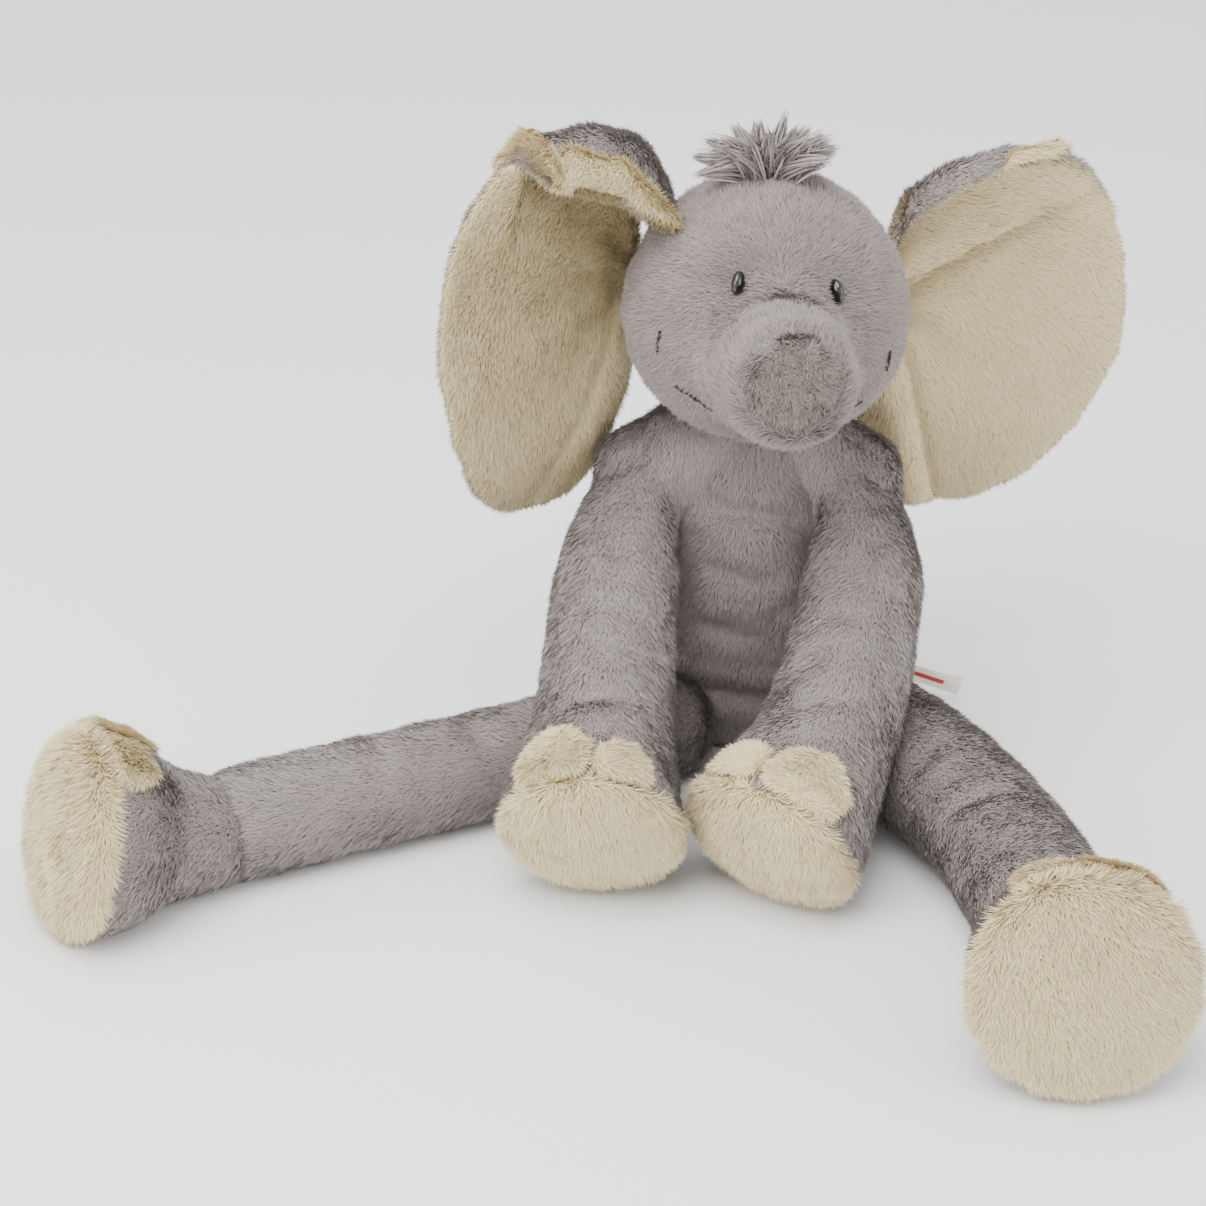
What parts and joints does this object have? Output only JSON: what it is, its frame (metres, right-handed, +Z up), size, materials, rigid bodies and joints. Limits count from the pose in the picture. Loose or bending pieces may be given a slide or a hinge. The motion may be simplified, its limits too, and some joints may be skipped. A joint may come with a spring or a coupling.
{
  "type": "stuffed elephant",
  "caption": "Long-limbed plush elephant that sits on its own, with floppy arms and legs, large hanging ears, a short trunk and padded soles.",
  "frame": {"origin": "middle of the flat underside of the seat, on the surface that the toy sits on", "axes": "+Z up, the toy faces -Y, its own left side is +X"},
  "size_m": [0.4092, 0.3509, 0.2564],
  "materials": {
    "grey_pile": "short dense plush pile, warm grey",
    "cream_pile": "short wavy plush pile, cream",
    "fibre_filling": "white polyester fibre, loose",
    "pellet_pouch_cloth": "woven polyester pouch of plastic pellets",
    "black_thread": "twisted embroidery thread, satin",
    "cream_ribbon": "woven satin ribbon",
    "black_plastic": "polished moulded bead",
    "white_plastic": "moulded lock washer"
  },
  "bodies": {
    "torso": {"torso_cover": "grey_pile", "belly_panel": "grey_pile", "seat_pellet_pouch": "pellet_pouch_cloth", "torso_stuffing": "fibre_filling"},
    "head": {"head_cover": "grey_pile", "head_stuffing": "fibre_filling", "hair_tuft": "grey_pile", "eye_left": "black_plastic", "eye_right": "black_plastic", "eye_washer_left": "white_plastic", "eye_washer_right": "white_plastic", "mouth_stitch_left": "black_thread", "mouth_stitch_right": "black_thread", "cheek_stitch_left": "black_thread", "cheek_stitch_right": "black_thread"},
    "trunk": {"trunk_cover": "grey_pile", "trunk_stuffing": "fibre_filling", "trunk_end_patch": "grey_pile"},
    "ear_left": {"ear_lining_left": "cream_pile", "ear_back_left": "grey_pile"},
    "arm_left": {"arm_cover_left": "grey_pile", "arm_stuffing_left": "fibre_filling", "paw_pellet_pouch_left": "pellet_pouch_cloth", "paw_sole_left": "cream_pile", "paw_big_toenail_left": "cream_pile", "paw_small_toenail_left": "cream_pile"},
    "leg_left": {"leg_cover_left": "grey_pile", "leg_stuffing_left": "fibre_filling"},
    "foot_left": {"foot_cover_left": "grey_pile", "foot_stuffing_left": "fibre_filling", "foot_pellet_pouch_left": "pellet_pouch_cloth", "foot_sole_left": "cream_pile", "foot_big_toenail_left": "cream_pile", "foot_small_toenail_left": "cream_pile"},
    "ear_right": {"ear_lining_right": "cream_pile", "ear_back_right": "grey_pile"},
    "arm_right": {"arm_cover_right": "grey_pile", "arm_stuffing_right": "fibre_filling", "paw_pellet_pouch_right": "pellet_pouch_cloth", "paw_sole_right": "cream_pile", "paw_big_toenail_right": "cream_pile", "paw_small_toenail_right": "cream_pile"},
    "leg_right": {"leg_cover_right": "grey_pile", "leg_stuffing_right": "fibre_filling"},
    "foot_right": {"foot_cover_right": "grey_pile", "foot_stuffing_right": "fibre_filling", "foot_pellet_pouch_right": "pellet_pouch_cloth", "foot_sole_right": "cream_pile", "foot_big_toenail_right": "cream_pile", "foot_small_toenail_right": "cream_pile"},
    "tail": {"tail_cover": "grey_pile", "tail_tuft": "grey_pile"},
    "label": {"side_label": "cream_ribbon"}
  },
  "joints": [
    {"name": "neck_nod", "type": "hinge", "parent": "torso", "child": "head", "pos_m": [0, -0.004, 0.127], "axis": [-1, 0, 0], "range_deg": [-15, 15], "stiffness_Nm_per_rad": 1},
    {"name": "trunk_bend", "type": "hinge", "parent": "head", "child": "trunk", "pos_m": [0.00599, -0.05938, 0.18453], "axis": [-0.9881, -0.1045, 0.1126], "range_deg": [-18, 20], "stiffness_Nm_per_rad": 0.1},
    {"name": "ear_flap_left", "type": "hinge", "parent": "head", "child": "ear_left", "pos_m": [0.04189, 0.0176, 0.16534], "axis": [-0.1132, 0, -0.9936], "range_deg": [-25, 25], "stiffness_Nm_per_rad": 0.1},
    {"name": "ear_flap_right", "type": "hinge", "parent": "head", "child": "ear_right", "pos_m": [-0.04839, 0.00805, 0.17563], "axis": [0.0267, -0.0091, 0.9996], "range_deg": [-40, 0], "stiffness_Nm_per_rad": 0.1},
    {"name": "arm_swing_left", "type": "hinge", "parent": "torso", "child": "arm_left", "pos_m": [0.043, -0.016, 0.114], "axis": [-1, 0, 0], "range_deg": [0, 45]},
    {"name": "arm_swing_right", "type": "hinge", "parent": "torso", "child": "arm_right", "pos_m": [-0.051, -0.016, 0.114], "axis": [-1, 0, 0], "range_deg": [0, 45]},
    {"name": "leg_splay_left", "type": "hinge", "parent": "torso", "child": "leg_left", "pos_m": [0.039, -0.049, 0.02331], "axis": [0, 0, 1], "range_deg": [0, 50]},
    {"name": "leg_splay_right", "type": "hinge", "parent": "torso", "child": "leg_right", "pos_m": [-0.039, -0.049, 0.01977], "axis": [0, 0, -1], "range_deg": [-12, 22]},
    {"name": "foot_tilt_left", "type": "hinge", "parent": "leg_left", "child": "foot_left", "pos_m": [0.10263, -0.18863, 0.02331], "axis": [-0.9962, -0.0872, 0], "range_deg": [0, 20]},
    {"name": "foot_tilt_right", "type": "hinge", "parent": "leg_right", "child": "foot_right", "pos_m": [-0.20184, -0.13377, 0.01977], "axis": [-0.4848, 0.8746, 0], "range_deg": [0, 20]},
    {"name": "tail_swing", "type": "hinge", "parent": "torso", "child": "tail", "pos_m": [0, 0.047, 0.04], "axis": [0, 0, 1], "range_deg": [-40, 40], "stiffness_Nm_per_rad": 0.01},
    {"name": "label_flap", "type": "hinge", "parent": "torso", "child": "label", "pos_m": [0.053, 0.008, 0.019], "axis": [0, 0, 1], "range_deg": [-30, 40], "stiffness_Nm_per_rad": 0.001}
  ]
}
